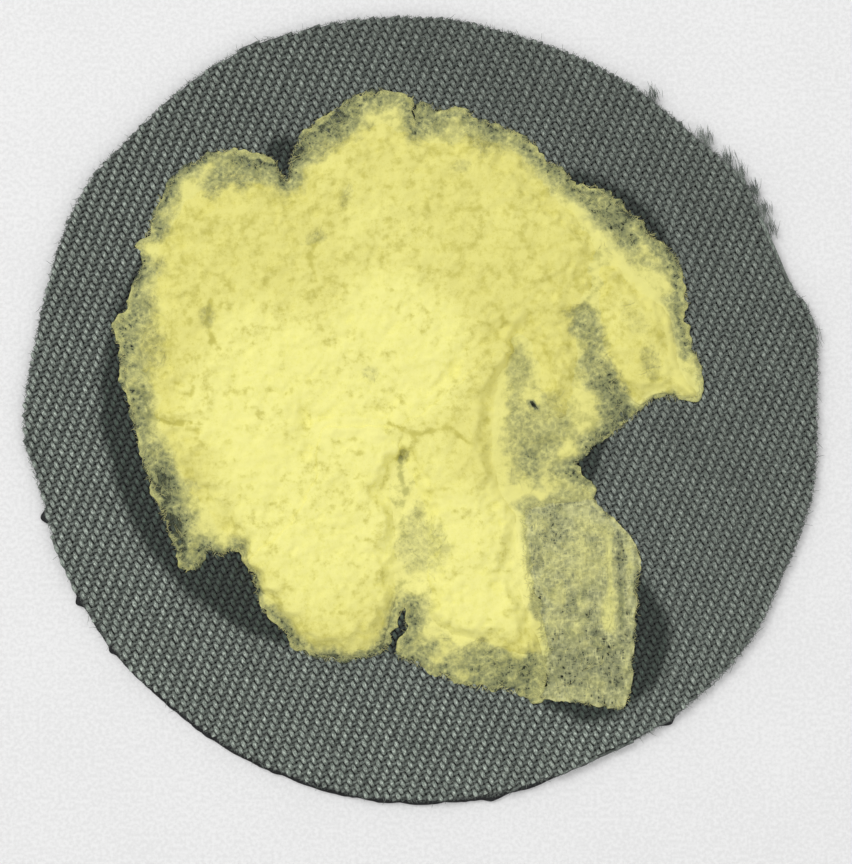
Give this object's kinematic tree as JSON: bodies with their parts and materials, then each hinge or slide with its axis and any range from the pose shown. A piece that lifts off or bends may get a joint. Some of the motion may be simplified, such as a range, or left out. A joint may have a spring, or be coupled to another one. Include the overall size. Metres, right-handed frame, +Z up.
{
  "type": "clay disc on twill cloth",
  "caption": "Hand-cut round of dark twill cloth on a thin black film, with a torn, fibrous, partly see-through layer of pale yellow clay laid on its face",
  "frame": {"origin": "middle of the underside of the disc, on the surface that it rests on", "axes": "+Z up through the thickness, from the black film to the clay; +Y towards the slit between the two upper lobes of the clay"},
  "size_m": [0.0756, 0.075, 0.0026],
  "materials": {
    "film": "matt black bonding film",
    "twill": "dark grey-green 2/1 twill weave, darker where it is soaked round the clay, frayed rim",
    "clay_thin": "pale yellow fibrous web, thin and see-through",
    "clay_thick": "pale yellow fibrous clay, matt, mottled and fuzzy"
  },
  "bodies": {
    "root": {"black_backing": "film", "twill_face": "twill", "clay_veil": "clay_thin", "clay_panel": "clay_thin", "clay_main_ply": "clay_thick", "clay_lobe_ply": "clay_thick", "clay_tongue_ply": "clay_thick", "clay_flap": "clay_thick"}
  },
  "joints": []
}
